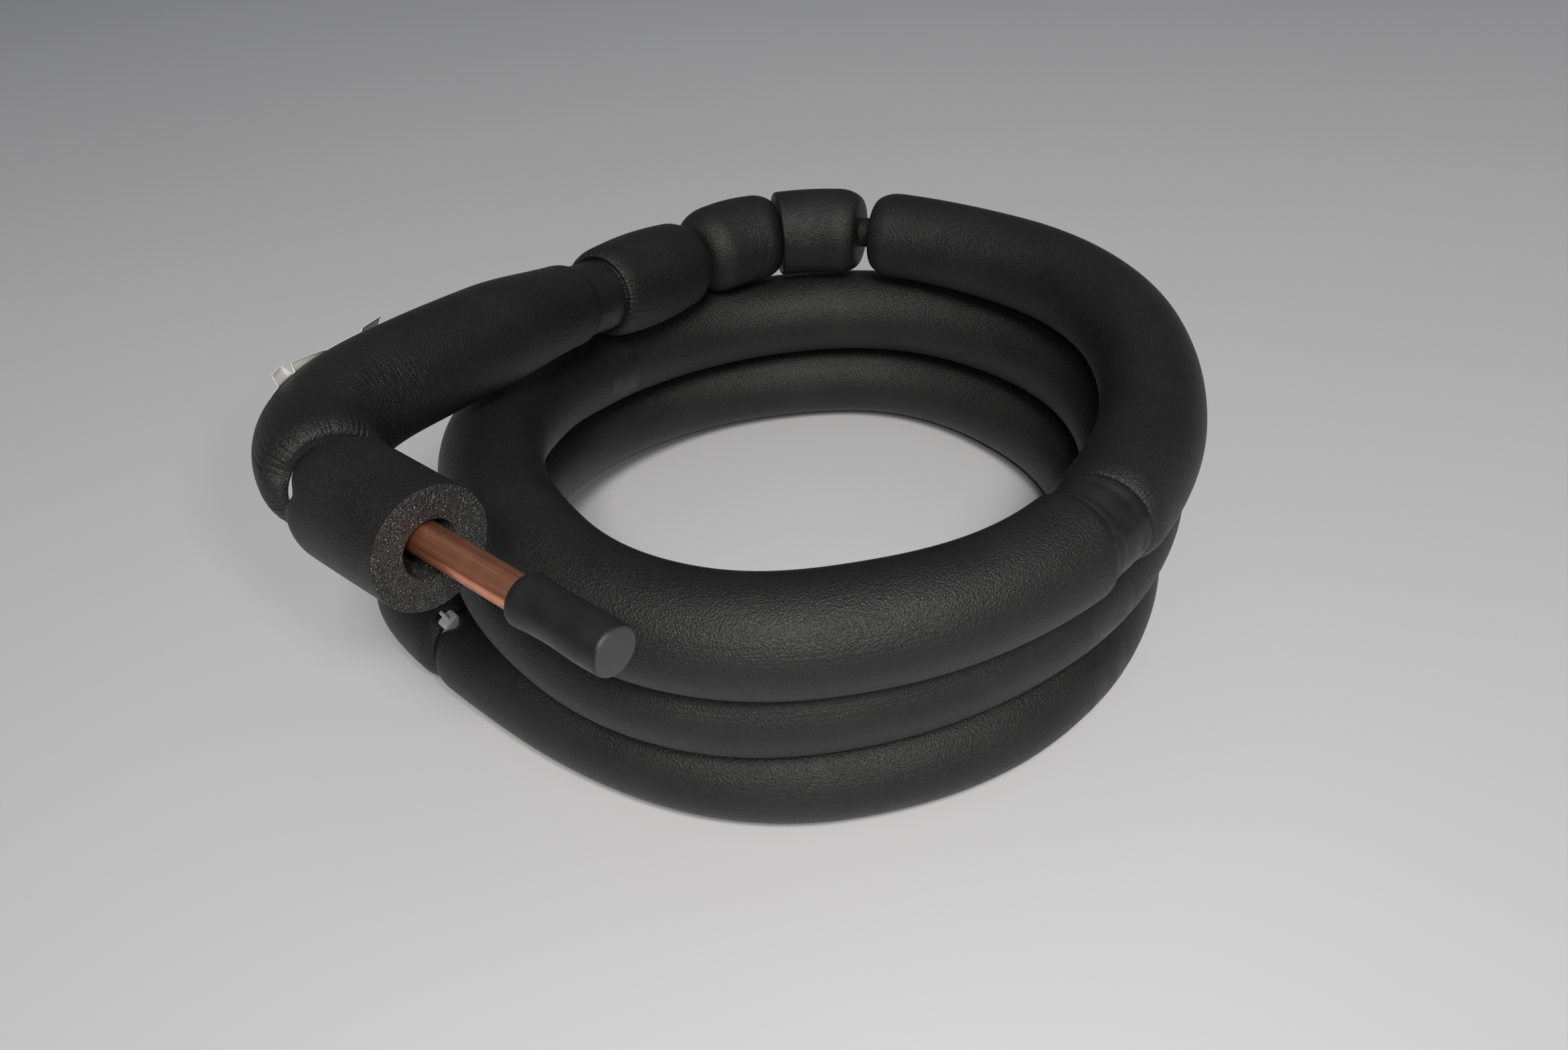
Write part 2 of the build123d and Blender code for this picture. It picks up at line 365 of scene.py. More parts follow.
# %% A material
class Paint:
    """A material with one main shader."""

    def __init__(self, name):
        self.material = bpy.data.materials.new(name)
        self.material.use_nodes = True
        self.tree = self.material.node_tree
        self.shader = next(node for node in self.tree.nodes if node.type == "BSDF_PRINCIPLED")

    def node(self, kind, settings=None, inputs=None, output=0):
        """Adds a node with its settings and inputs, and returns one of its outputs as a term."""
        made = self.tree.nodes.new(kind)
        for key, value in (settings or {}).items():
            setattr(made, key, value)
        for key, value in (inputs or {}).items():
            self.feed(made.inputs[key], value)
        return Term(self, made.outputs[output])

    def feed(self, socket, value):
        """Gives an input a term or a plain value."""
        if isinstance(value, Term):
            self.tree.links.new(value.socket, socket)
        else:
            socket.default_value = value

    def set(self, **inputs):
        """Sets the main shader's inputs, by name with underscores for spaces."""
        for key, value in inputs.items():
            self.feed(self.shader.inputs[key.replace("_", " ")], value)

    def place(self):
        """Coordinates in the part's frame."""
        return self.node("ShaderNodeTexCoord", output="Object")

    def unrolled(self, per_metre, per_turn):
        """Coordinates along and around the tube, multiplied so that one unit is one speck of a pattern."""
        uv = self.node("ShaderNodeUVMap", {"uv_map": "along_around"})
        inputs = {0: uv, 1: (per_metre, per_turn, 1.0)}
        return self.node("ShaderNodeVectorMath", {"operation": "MULTIPLY"}, inputs)

    def held(self, name):
        """A value kept on the mesh."""
        return self.node("ShaderNodeAttribute", {"attribute_name": name}, output="Fac")

    def noise(self, vector, scale, detail=2.0, roughness=0.5):
        """Cloudy noise from 0 to 1."""
        inputs = {"Vector": vector, "Scale": scale, "Detail": detail, "Roughness": roughness}
        return self.node("ShaderNodeTexNoise", None, inputs)

    def cells(self, vector, scale, feature="F1"):
        """Distance to the middle of the nearest of many small cells."""
        inputs = {"Vector": vector, "Scale": scale}
        return self.node("ShaderNodeTexVoronoi", {"feature": feature}, inputs)

    def blend(self, share, first, second):
        """A colour between two."""
        inputs = {"Factor": share, 6: (*first, 1.0), 7: (*second, 1.0)}
        return self.node("ShaderNodeMix", {"data_type": "RGBA"}, inputs, output=2)

    def bump(self, height, distance, strength=1.0, normal=None):
        """A normal for a height pattern of that depth."""
        inputs = {"Height": height, "Distance": distance, "Strength": strength}
        if normal is not None:
            inputs["Normal"] = normal
        return self.node("ShaderNodeBump", None, inputs)


# %% [markdown]
# The sleeves are closed-cell rubber foam. Its skin is nearly black, with a fine leathery grain that
# sparkles a little. Where a bend presses it together it has fine ripples across the tube, where a bend
# stretches it, streaks along the tube, and where tape or a tie draws an end in, pleats. To model them
# all would take millions of faces, so the finest are bumps, and the mesh holds how much of each there is
# at every point.


# %% Foam
def paint_foam():
    """Black foam: grain from small cells and noise, with ripples, streaks and pleats added as bumps."""
    paint = Paint("foam_skin")
    place = paint.place()
    squeeze = paint.held("squeeze")
    grain = paint.cells(place, 1700.0, "SMOOTH_F1") + paint.noise(place, 3000.0, 3.0) * 0.8
    patches = paint.noise(place, 45.0, 4.0)
    specks = paint.noise(place, 2100.0, 2.0, 0.7)
    ripples = paint.noise(paint.unrolled(950.0, 26.0), 1.0, 2.0) * paint.held("rippled")
    streaks = paint.noise(paint.unrolled(40.0, 120.0), 1.0, 3.0) * squeeze.ranged(-0.02, -0.18)
    pleats = paint.noise(paint.unrolled(25.0, 110.0), 1.0, 1.0) * paint.held("drawn")
    grained = paint.bump(grain, 0.00030, 0.85)
    rippled = paint.bump(ripples, 0.0010, 0.8, grained)
    streaked = paint.bump(streaks, 0.0004, 0.6, rippled)
    tone = patches.ranged(0.3, 0.7) * 0.5 + specks.ranged(0.35, 0.75) * 0.5
    paint.set(
        Base_Color=paint.blend(tone, (0.0066, 0.0065, 0.0064), (0.0165, 0.0162, 0.0158)),
        Roughness=specks.ranged(0.35, 0.65, 0.38, 0.56),
        Specular_IOR_Level=0.48,
        Normal=paint.bump(pleats, 0.0009, 0.8, streaked),
    )
    return paint.material


foam_material = paint_foam()
print("foam nodes:", len(foam_material.node_tree.nodes))

# %% [markdown]
# Each sleeve's ends have their own look. The free end is a clean cut with an open bore. Taped ends step
# down into a neck under the tape. Tied ends curl over the tie, and the short lengths at the back are
# rounded like barrels. A bevel would round them all alike. So a profile lists distances in from the end
# and the radii there, from the inside to the full girth.

# %% End profiles
taped_length = 0.0070
taped_depth = 0.0036
cut_edge = 0.0003
bore_depths = (0.024, 0.016, 0.010, 0.006, 0.003, 0.0012, 0.0004)
quarter_turn = np.linspace(0, np.pi / 2, 16)[1:]
# How far from the tube or the bore the parts of an end start
bore_gap = 0.0004
taped_gap = 0.0002
# The dark sleeve of painted shade over the bare copper in a neck: its gap from the tube and its wall
shade_sleeve_gap = 0.0001
shade_sleeve_wall = 0.0012
face_gap = 0.0014

# How long each kind of rounded end is along the tube, and how far its radius falls
rim_sizes = {
    "curl": (0.0065, 0.0085),
    "barrel": (0.0100, 0.0074),
    "block": (0.0062, 0.0062),
    "soft": (0.0100, 0.0078),
    "square": (0.0012, 0.0012),
    "butt": (0.0014, 0.0012),
}
# How long a taped end's rise from its neck is
rise_lengths = {"shoulder": 0.0058, "step": 0.0034, "lip": 0.0060}


def cut_profile():
    """A straight bore, a flat face and a small rounded edge."""
    face = np.linspace(bore_radius + bore_gap, foam_radius - cut_edge, 16)
    edge = foam_radius - cut_edge + cut_edge * np.sin(quarter_turn)
    depth = np.r_[bore_depths, np.zeros(len(face)), cut_edge * (1 - np.cos(quarter_turn))]
    radii = np.r_[np.full(len(bore_depths), bore_radius), face, edge]
    return depth, radii


def taped_profile(rise):
    """A neck of even girth, then a quarter of an ellipse up to the full girth."""
    neck = np.linspace(0, taped_length, 6)
    low = foam_radius - taped_depth
    face = np.linspace(copper_radius + taped_gap, low, 6)[:-1]
    depth = np.r_[np.zeros(len(face)), neck, taped_length + rise * (1 - np.cos(quarter_turn))]
    radii = np.r_[face, np.full(len(neck), low), low + taped_depth * np.sin(quarter_turn)]
    return depth, radii


def rounded_profile(length, fall, shade_length):
    """A flat face and a quarter of an ellipse. A dark sleeve of painted shade may reach on along the tube,
    over the bare copper in a neck.
    """
    around_tube = copper_radius + shade_sleeve_wall
    face = np.linspace(copper_radius + face_gap, foam_radius - fall, 7)
    edge = foam_radius - fall + fall * np.sin(quarter_turn)
    depth = np.r_[-shade_length, -shade_length, 0.0, np.zeros(len(face)), length * (1 - np.cos(quarter_turn))]
    radii = np.r_[copper_radius + shade_sleeve_gap, around_tube, around_tube, face, edge]
    return depth, radii


print("rows of a cut end:", len(cut_profile()[0]))

# %% An end
spare_width = 0.19
lean_reach = 0.008
# Between which radii the rim of a plain end and of a lip begins to slide
plain_rim = (0.0105, 0.0155)
lip_rim = (0.0135, 0.0165)


class End:
    """One end of a sleeve: its profile, how deep its folds are, and how far and where it leans over its
    neck."""

    def __init__(self, kind, fold=0.0, pleat=0.0, lean=0.0, toward=None, spare=None, shade_length=0.0):
        if kind == "cut":
            self.depth, self.radii = cut_profile()
        elif kind in rise_lengths:
            self.depth, self.radii = taped_profile(rise_lengths[kind])
        else:
            # A rounded end may reach on over the bare copper as a dark sleeve of painted shade
            self.depth, self.radii = rounded_profile(*rim_sizes[kind], shade_length)
        self.neck = taped_length if kind in rise_lengths else 0.0
        self.rim = lip_rim if kind == "lip" else plain_rim
        self.calm = kind == "butt"
        self.fold = fold
        self.pleat = pleat
        self.lean = lean
        self.toward = toward
        self.spare = spare

    def lean_around(self, angles):
        """The lean at each angle: all round, or falling as the cosine of half the angle from one side. It is
        nothing at the spare angle, where a tie stands out, as a bell-shaped gap."""
        share = np.ones_like(angles)
        if self.toward is not None:
            share = np.sqrt(0.5 + 0.5 * np.cos(angles - self.toward))
        if self.spare is not None:
            apart = np.angle(np.exp(1j * (angles - self.spare)))
            share = share * (1 - np.exp(-((apart / spare_width) ** 2)))
        return self.lean * share

    def slide(self, depth, radii, angles):
        """How far each point slides out over the neck: the lean, less with the depth, and only on the rim."""
        faded = np.exp(-np.abs(depth - self.neck) / lean_reach) * smooth_step(radii, *self.rim)
        return faded[:, None] * self.lean_around(angles)


print("a curled end is", End("curl").depth[-1], "long")

# %% [markdown]
# Foam that is drawn in has more girth than it needs, so it gathers into folds that run in to the neck,
# each with its own depth and length. Foam that is bent sharply creases across the tube. Blender's cloth
# could fold an end, but these folds are finer than its mesh could be. So both are valleys in the radius,
# each a bell curve around the middle of its fold.

# %% Folds
fold_count = 58
fold_width = 0.21
fold_sway = 0.9
fold_sway_count = 11
fold_strengths = (0.10, 1)
fold_reaches = (0.0020, 0.0065)


def folds(depth, angles, seed):
    """Valleys that run in to a drawn end, by the distance from that end and the angle."""
    random = np.random.default_rng(seed)
    place = angles / (2 * np.pi) * fold_count + fold_sway * ring_wander(angles, fold_sway_count, seed + 1)
    number = np.round(place).astype(int) % fold_count
    strength = random.uniform(*fold_strengths, fold_count)[number]
    reach = random.uniform(*fold_reaches, fold_count)[number]
    valley = np.exp(-(((place - np.round(place)) / fold_width) ** 2))
    return -strength * valley * np.exp(-np.clip(depth, 0, None)[:, None] / reach)


whole_turn = ring_angles(720)
print("deepest fold at a rim:", np.round(folds(np.zeros(1), whole_turn, 1).min(), 2))

# %% Creases
crease_spacing = 0.0042
crease_width = 0.18
crease_depth = 0.0007
crease_level = 0.25
crease_sway = 0.0014
crease_swing = 40
crease_shift = 0.35
# The least strength and pressure of a crease, and how much is added at random
crease_strengths = (0.3, 0.7)
crease_pressures = (0.19, 0.06)
crease_onset = 0.12
crease_wanders = (0.02, 0.008)
pressure_stride = 7


def squeeze_at(stations, angles):
    """How hard a bend presses the foam: the foam's radius times the bend's part towards that side."""
    turn = on_line(bend, stations)
    inward = np.einsum("sk,sk->s", turn, on_line(side, stations))[:, None] * np.cos(angles)
    upward = np.einsum("sk,sk->s", turn, on_line(above, stations))[:, None] * np.sin(angles)
    return foam_radius * (inward + upward)


def creases(stations, squeeze, angles, seed):
    """Valleys across the tube where the foam is pressed hard, each with its own depth and reach."""
    swing = crease_swing * wander(stations, crease_wanders[0], seed)[:, None]
    swayed = stations[:, None] + crease_sway * np.sin(3 * angles + swing)
    shift = crease_shift * wander(stations, crease_wanders[1], seed + 1)[:, None]
    place = swayed / crease_spacing + shift
    number = np.round(place).astype(int)
    picks = np.random.default_rng(seed + 2).uniform(0, 1, pick_count)
    strength = crease_strengths[0] + crease_strengths[1] * picks[number % pick_count]
    reach = crease_pressures[0] + crease_pressures[1] * picks[(number * pressure_stride) % pick_count]
    valley = np.exp(-(((place - number) / crease_width) ** 2)) - crease_level
    return -crease_depth * strength * valley * smooth_step(squeeze, reach, reach + crease_onset)


print("hardest squeeze of the foam:", np.round(squeeze_at(raw_stations, whole_turn).max(), 2))

# %% [markdown]
# Eleven lengths of foam follow each other from the free end to the floor end. Each could be a curve with
# a bevel, but then it would have one girth and flat ends. Here one function makes them all: its profile
# starts inside the first end, comes out over the rim, goes along and turns in again at the last end.

# %% One sleeve
profile_step = 0.0013
plain_around = 132
lump = 0.00035
lump_spacings = (0.05, 0.07, 0.03)
lump_shares = (0.7, 0.5)
ripple_pressures = (0.24, 0.36)
calm_reaches = (0.006, 0.035)
pleat_reach = 0.007
swell_level = 0.45
narrow_reaches = (0.055, 0.012)


def lumps(stations, angles, seed):
    """Uneven girth: slow waves along the tube, and waves with two and three crests around it."""
    slow = wander(stations, lump_spacings[0], seed)[:, None]
    double = wander(stations, lump_spacings[1], seed + 5)[:, None] * np.sin(2 * angles + seed)
    triple = wander(stations, lump_spacings[2], seed + 6)[:, None] * np.sin(3 * angles + 2 * seed)
    return lump * (slow + lump_shares[0] * double + lump_shares[1] * triple)


def make_sleeve(
    name, first, last, seed, around=plain_around,
    hang=0.0, swell=0.0, narrow=0.0, pressures=ripple_pressures,
):
    """The skin of one foam sleeve, in the place of its node. Its radius is the profile plus lumps, creases
    and folds. Swell makes it a barrel by half a sine wave, and narrow thins its last end by a smooth
    step."""
    start, finish = span(name, sleeve_reach)
    angles = ring_angles(around)
    body_start = start + first.depth[-1]
    body_finish = finish - last.depth[-1]
    body = np.linspace(body_start, body_finish, int((body_finish - body_start) / profile_step))[1:-1]
    stations = np.concatenate([start + first.depth, body, (finish - last.depth)[::-1]])
    radii = np.concatenate([first.radii, np.full(len(body), foam_radius), last.radii[::-1]])
    after = stations - start
    before = finish - stations
    hold = np.clip((radii - bore_radius) / (foam_radius - bore_radius), 0, 1)[:, None]
    squeeze = squeeze_at(stations, angles)

    calm = smooth_step(after, *calm_reaches) if first.calm else 1.0
    calm = calm * (smooth_step(before, *calm_reaches) if last.calm else 1.0)
    uneven = lumps(stations, angles, seed) * np.broadcast_to(calm, stations.shape)[:, None] - lump
    folded = creases(stations, squeeze, angles, seed + 20)
    folded = folded + first.fold * folds(after - first.neck, angles, seed + 40)
    folded = folded + last.fold * folds(before - last.neck, angles, seed + 50)
    barrel = swell * (np.sin(np.pi * np.clip(after / (finish - start), 0, 1)) - swell_level)
    thinned = narrow * smooth_step(stations, finish - narrow_reaches[0], finish - narrow_reaches[1])
    skin = radii[:, None] + hold * (uneven + folded + (barrel - thinned)[:, None])

    slide = first.slide(after, radii, angles) - last.slide(before, radii, angles)
    points = turned(stations, skin, angles, hang) - slide[..., None] * on_line(along, stations)[:, None]

    drawn = first.pleat * np.exp(-np.clip(after - first.neck, 0, None) / pleat_reach)
    drawn = drawn + last.pleat * np.exp(-np.clip(before - last.neck, 0, None) / pleat_reach)
    rippled = smooth_step(squeeze, *pressures)
    kept = {"squeeze": squeeze, "drawn": np.repeat(drawn, around), "rippled": rippled}
    piece = add_mesh(f"{name}_skin", [(points, stations, angles)], attributes=kept)
    settle(piece, name, foam_material)
    print(name, "covers", np.round([start, finish], 4))
    return piece


# %% All the sleeves
hang_gap = 0.0005
end_hang = bore_radius - copper_radius - hang_gap
bend_seed = 2
# Angles around the tube: where rims lean to, where a strap shows, and where the ties' heads stand
outer_up = 1.7
lip_up = 1.8
inner_up = 0.5
crescent_angle = 2.55
floor_head_angle = np.radians(110)
free_head_angle = np.radians(260)
# How far the dark sleeves of painted shade reach over the bare copper in the necks
neck_shade_length = 0.0028
bare_neck_shade_length = 0.0068
bend_pressures = (0.01, 0.16)

end_sleeve = make_sleeve(
    "end_sleeve",
    End("cut"),
    End("block", lean=0.0048, toward=outer_up, spare=crescent_angle),
    seed=1, around=192, hang=end_hang,
)
make_sleeve(
    "bend_sleeve",
    End("curl", fold=0.0012, pleat=0.4, lean=0.0028, toward=outer_up, spare=crescent_angle),
    End("shoulder", pleat=0.1),
    seed=bend_seed, around=360, narrow=0.0022, pressures=bend_pressures,
)
make_sleeve(
    "barrel_sleeve_1",
    End("lip", fold=0.0007, pleat=0.45, lean=0.0034, toward=lip_up),
    End("barrel", shade_length=neck_shade_length),
    seed=3, around=240, swell=0.0030,
)
make_sleeve(
    "barrel_sleeve_2",
    End("barrel"),
    End("barrel", shade_length=neck_shade_length),
    seed=4, around=192, swell=0.0008,
)
make_sleeve(
    "barrel_sleeve_3",
    End("square", lean=0.0022),
    End("soft", lean=0.0012, shade_length=bare_neck_shade_length),
    seed=5, around=192,
)
make_sleeve(
    "top_sleeve_1",
    End("soft", lean=0.0012),
    End("lip", fold=0.0001, pleat=0.35, lean=0.0040, toward=inner_up),
    seed=6,
)
make_sleeve("top_sleeve_2", End("step", lean=0.0030, toward=inner_up), End("butt"), seed=7)
make_sleeve("middle_sleeve", End("butt"), End("butt"), seed=8)
make_sleeve("bottom_sleeve_1", End("butt"), End("butt"), seed=9)
make_sleeve(
    "bottom_sleeve_2",
    End("butt"),
    End("curl", fold=0.0004, pleat=0.4, lean=0.0056, spare=floor_head_angle),
    seed=10,
)
floor_sleeve = make_sleeve(
    "floor_sleeve",
    End("curl", fold=0.0005, pleat=0.4, lean=0.0054, spare=floor_head_angle),
    End("cut"),
    seed=12, around=192,
)

# %% [markdown]
# A knife cut opens the foam's cells, so the cut face is a rougher, greyer black, and here and there a
# cell wall catches the light; these glints are painted highlights, bright specks in the colour, and the
# pores are painted darker than their rims as painted shade. The face could be a piece of its own, but a
# seam would show at its edge.
# So the faces that look along the tube at a cut end get a second material, and so does the bore.

# %% Cut foam
cut_reach = 0.030
cut_facing = 0.8
bore_margin = 0.001


def paint_cut_foam():
    """Open cells: two sizes of pores as bumps and as painted shade, and a few painted highlights on cell
    walls.
    """
    paint = Paint("foam_cut")
    place = paint.place()
    pores = paint.cells(place, 1500.0)
    small = paint.cells(place, 3200.0)
    height = pores.ranged(0.1, 0.6) + small.ranged(0.1, 0.6) * 0.5
    # Bright specks in the colour: painted highlights where a cell wall would catch the light
    painted_glints = paint.noise(place, 2500.0, 1.0).ranged(0.66, 0.74)
    # The colour is painted shade, darker in the pores and lighter on the raised rims, plus the painted
    # highlights
    tone = height.ranged(0.7, 1.5) * 0.045 + painted_glints * 0.95
    paint.set(
        Base_Color=paint.blend(tone, (0.0080, 0.0080, 0.0081), (0.50, 0.50, 0.49)),
        Roughness=0.48,
        Normal=paint.bump(height, 0.0005, 0.9),
    )
    return paint.material


def paint_cut_end(piece, centre, direction):
    """Gives the second material to faces near a cut end that face along the tube or lie in the bore."""
    mesh = piece.data
    mesh.materials.append(cut_material)
    offsets = read_rows(mesh.polygons, "center") - centre
    depth = offsets @ direction
    facing_out = read_rows(mesh.polygons, "normal") @ direction
    reach = np.linalg.norm(offsets - depth[:, None] * direction, axis=1)
    on_cut = (facing_out > cut_facing) | (reach < bore_radius + bore_margin)
    cut = (np.abs(depth) < cut_reach) & on_cut & (reach < foam_radius)
    mesh.polygons.foreach_set("material_index", cut.astype(np.int32))
    print(piece.name, "cut faces:", int(cut.sum()))


cut_material = paint_cut_foam()
end_face = np.array(span("end_sleeve", sleeve_reach)[0])
floor_face = np.array(span("floor_sleeve", sleeve_reach)[1])
paint_cut_end(end_sleeve, on_line(line, end_face) - np.array([0, 0, end_hang]), -on_line(along, end_face))
paint_cut_end(floor_sleeve, on_line(line, floor_face), on_line(along, floor_face))

# %% [markdown]
# Drawn copper is bright where it was rubbed and browner where it has dulled, in streaks along the tube.
# The bright streaks in its colour are also painted highlights, lines of light along the tube.
# A beveled curve would give a tube too, but not its wall at the two ends. So the profile goes out along
# the outside and back along the inside.


# %% Copper
def paint_copper():
    """Drawn copper: long streaks set both its colour, as rub marks and painted highlights, and its gloss; fine
    lines are bumps.
    """
    paint = Paint("copper_drawn")
    streaks = paint.noise(paint.unrolled(5.0, 10.0), 1.0, 4.0, 0.6)
    lines = paint.noise(paint.unrolled(14.0, 120.0), 1.0, 3.0)
    dull = paint.noise(paint.place(), 240.0, 4.0)
    tone = streaks * 0.9 + dull * 0.1
    paint.set(
        # The bright streaks in the colour are partly rubbed copper and partly painted highlights
        Base_Color=paint.blend(tone.ranged(0.38, 0.62), (0.46, 0.140, 0.070), (1.0, 0.45, 0.27)),
        Metallic=0.9,
        Roughness=tone.ranged(0.3, 0.7, 0.40, 0.24),
        Normal=paint.bump(lines, 0.00005, 0.6),
    )
    return paint.material


tube_wall = 0.00081
tube_edge = 0.0002
tube_angles = ring_angles(48)
tube_length = line_stations[-1]
inner_radius = copper_radius - tube_wall
rim_radius = copper_radius - tube_edge
run = np.linspace(tube_edge, tube_length - tube_edge, 300)
tube_stations = np.r_[0.0, 0.0, run, tube_length, tube_length, run[::-1], 0.0]
outer_radii = np.r_[inner_radius, rim_radius, np.full(len(run), copper_radius), rim_radius]
tube_radii = np.r_[outer_radii, inner_radius, np.full(len(run), inner_radius), inner_radius]
tube_points = turned(tube_stations, tube_radii[:, None], tube_angles)
tube = add_mesh("copper_tube_drawn", [(tube_points, tube_stations, tube_angles)], weld=True)
settle(tube, "copper_tube", paint_copper())
print("copper tube quads:", len(tube.data.polygons))

# %% [markdown]
# A moulded rubber cap is pushed over the free end. A cylinder with a bevel would come close. The real
# cap has a domed end that is rubbed grey, a rounded corner, a wall that swells a little over the tube's
# edge and a soft lip, so it is a turned profile like the sleeves.


# %% Cap
def paint_cap():
    """Moulded black rubber, rubbed grey in clouds on its end."""
    paint = Paint("cap_rubber")
    place = paint.place()
    clouds = paint.noise(place, 160.0, 4.0)
    fine = paint.noise(place, 2600.0, 2.0)
    worn = paint.held("face") * clouds.ranged(0.25, 0.65, 0.6, 1.0)
    paint.set(
        Base_Color=paint.blend(worn, (0.011, 0.011, 0.0115), (0.045, 0.046, 0.048)),
        Roughness=clouds.ranged(0.3, 0.7, 0.38, 0.52),
        Normal=paint.bump(fine, 0.00008, 0.5),
    )
    return paint.material


cap_outer = 0.00646
cap_floor = 0.0025
cap_mouth = 0.0275
cap_corner = 0.0013
cap_dome = 0.0003
cap_flare = 0.00025
flare_length = 0.006
cap_lip = 0.0006
wall_gaps = (0.0008, 0.0010)
wall_wave = 0.00015
wave_rate = 300
worn_rows = 4
cap_angles = ring_angles(64)
corner_turn = np.linspace(0, np.pi / 2, 10)[1:]
lip_turn = np.linspace(0, np.pi, 9)
face_radii = np.linspace(0, cap_outer - cap_corner, 12)
face_stations = -cap_floor - cap_dome * (1 - (face_radii / face_radii[-1]) ** 2)
corner_stations = -cap_floor + cap_corner * (1 - np.cos(corner_turn))
corner_radii = cap_outer - cap_corner + cap_corner * np.sin(corner_turn)
wall_stations = np.linspace(-cap_floor + cap_corner + wall_gaps[0], cap_mouth - wall_gaps[1], 26)
wall_radii = cap_outer + wall_wave * np.sin(wall_stations * wave_rate)
wall_radii = wall_radii + cap_flare * smooth_step(wall_stations, cap_mouth - flare_length, cap_mouth)
lip_stations = cap_mouth - cap_lip + cap_lip * np.sin(lip_turn)
lip_middle = (cap_outer + cap_flare + copper_radius) / 2
lip_radii = lip_middle + (cap_outer + cap_flare - lip_middle) * np.cos(lip_turn)
cap_stations = np.concatenate([face_stations, corner_stations, wall_stations, lip_stations])
cap_radii = np.concatenate([face_radii, corner_radii, wall_radii, lip_radii])
cap_points = turned(cap_stations, cap_radii[:, None], cap_angles)
worn = np.arange(len(cap_radii)) < len(face_radii) + worn_rows
cap = add_mesh(
    "end_cap_moulded",
    [(cap_points, cap_stations, cap_angles)],
    attributes={"face": np.repeat(worn, len(cap_angles))},
    weld=True,
)
settle(cap, "end_cap", paint_cap())
print("cap quads:", len(cap.data.polygons))

# %% [markdown]
# At two necks wide tape is drawn down tight, so it stands in ridges around the tube, and its edges go in
# under the foam. Three butt joints have a thin band that lies flat and hardly shows. A strip wound in a
# spiral would be truer, but the real windings can't be told apart. So a band is a short sleeve with its
# edges turned down.


# %% Tapes
def paint_tape():
    """Black tape, smoother than the foam, with small creases around the tube."""
    paint = Paint("tape_black")
    creased = paint.noise(paint.unrolled(700.0, 14.0), 1.0, 3.0)
    grain = paint.noise(paint.place(), 2400.0, 2.0)
    clouds = paint.noise(paint.place(), 180.0, 3.0)
    paint.set(
        Base_Color=paint.blend(clouds, (0.0085, 0.0084, 0.0083), (0.0150, 0.0148, 0.0146)),
        Roughness=clouds.ranged(0.3, 0.7, 0.40, 0.54),
        Normal=paint.bump(grain, 0.00012, 0.5, paint.bump(creased, 0.0003, 0.4)),
    )
    return paint.material


tape_material = paint_tape()
tape_rows = 60
tape_edge = 0.0002
tape_tuck = 0.0010
feather_width = 0.0025
ridge_sway = 0.25
pleat_share = 0.35
pleat_count = 40
pleat_spacing = 0.006
tape_angles = ring_angles(plain_around)


def make_tape(name, radius, ridge, spacing, seed, tucked=0.0, feather=0.0):
    """A band of tape. Its radius has ridges along the tube, and pleats that are a line around times one
    along. Its edges may be tucked on under the foam, or feathered out on it by a smooth step."""
    start, finish = np.array(span(name, thin_reach)) + np.array([-tucked, tucked])
    stations = np.linspace(start, finish, tape_rows)
    swayed = 1 - ridge_sway + ridge_sway * np.sin(tape_angles + 3 * seed)
    ridges = wander(stations, spacing, seed)[:, None] * swayed
    pleats = pleat_share * ring_wander(tape_angles, pleat_count, seed + 1)
    pleats = pleats * wander(stations, pleat_spacing, seed + 2)[:, None]
    from_edge = np.minimum(stations - start, finish - stations)[:, None]
    skin = radius + ridge * (ridges + pleats) - feather * (1 - smooth_step(from_edge, 0, feather_width))
    rows = np.r_[start, start, stations, finish, finish]
    first = [skin[:1] - tape_tuck, skin[:1] - tape_edge]
    last = [skin[-1:] - tape_edge, skin[-1:] - tape_tuck]
    rims = np.concatenate([*first, skin, *last])
    piece = add_mesh(f"{name}_wrap", [(turned(rows, rims, tape_angles), rows, tape_angles)])
    settle(piece, name, tape_material)
    print(name, "width", round(float(finish - start), 4))


# %% All the tapes
neck_tape_radius = foam_radius - 0.0025
bend_tape_radius = neck_tape_radius - 0.0018
neck_tuck = 0.0040
band_radius = foam_radius - lump + 0.00009
band_ridge = 0.00004
band_spacing = 0.004
band_feather = 0.0003
band_seed = 32
make_tape("bend_tape", bend_tape_radius, ridge=0.00025, spacing=0.0030, seed=31, tucked=neck_tuck)
make_tape("top_tape", neck_tape_radius, ridge=0.00060, spacing=0.0022, seed=32, tucked=neck_tuck)
for number in (1, 2, 3):
    seed = band_seed + number
    make_tape(f"band_tape_{number}", band_radius, band_ridge, band_spacing, seed, feather=band_feather)

# %% [markdown]
# At two necks a white nylon cable tie pulls the foam in. Its strap is a ring with a flat section, its
# head a rounded block, and the cut tail stands out of the head as a ribbed stub. Cubes with bevels would
# do. Here a power of the sine and cosine makes the rounded flat shapes, so that a grid serves as for the
# rest: the smaller the power, the squarer.


# %% Ties
def paint_nylon():
    """Milky white nylon that lets a little light in."""
    paint = Paint("tie_nylon")
    clouds = paint.noise(paint.place(), 300.0, 3.0)
    paint.set(
        Base_Color=paint.blend(clouds, (0.66, 0.67, 0.67), (0.84, 0.85, 0.85)),
        Roughness=clouds.ranged(0.3, 0.7, 0.36, 0.5),
        Subsurface_Weight=0.25,
        Subsurface_Radius=(0.002, 0.002, 0.002),
        Normal=paint.bump(clouds, 0.0001, 0.3),
    )
    return paint.material


block_rows = 40
block_columns = 64
block_power = 0.35


def squared(values, power):
    """A sine or cosine with its size raised to a power and its sign kept."""
    return np.sign(values) * np.abs(values) ** power


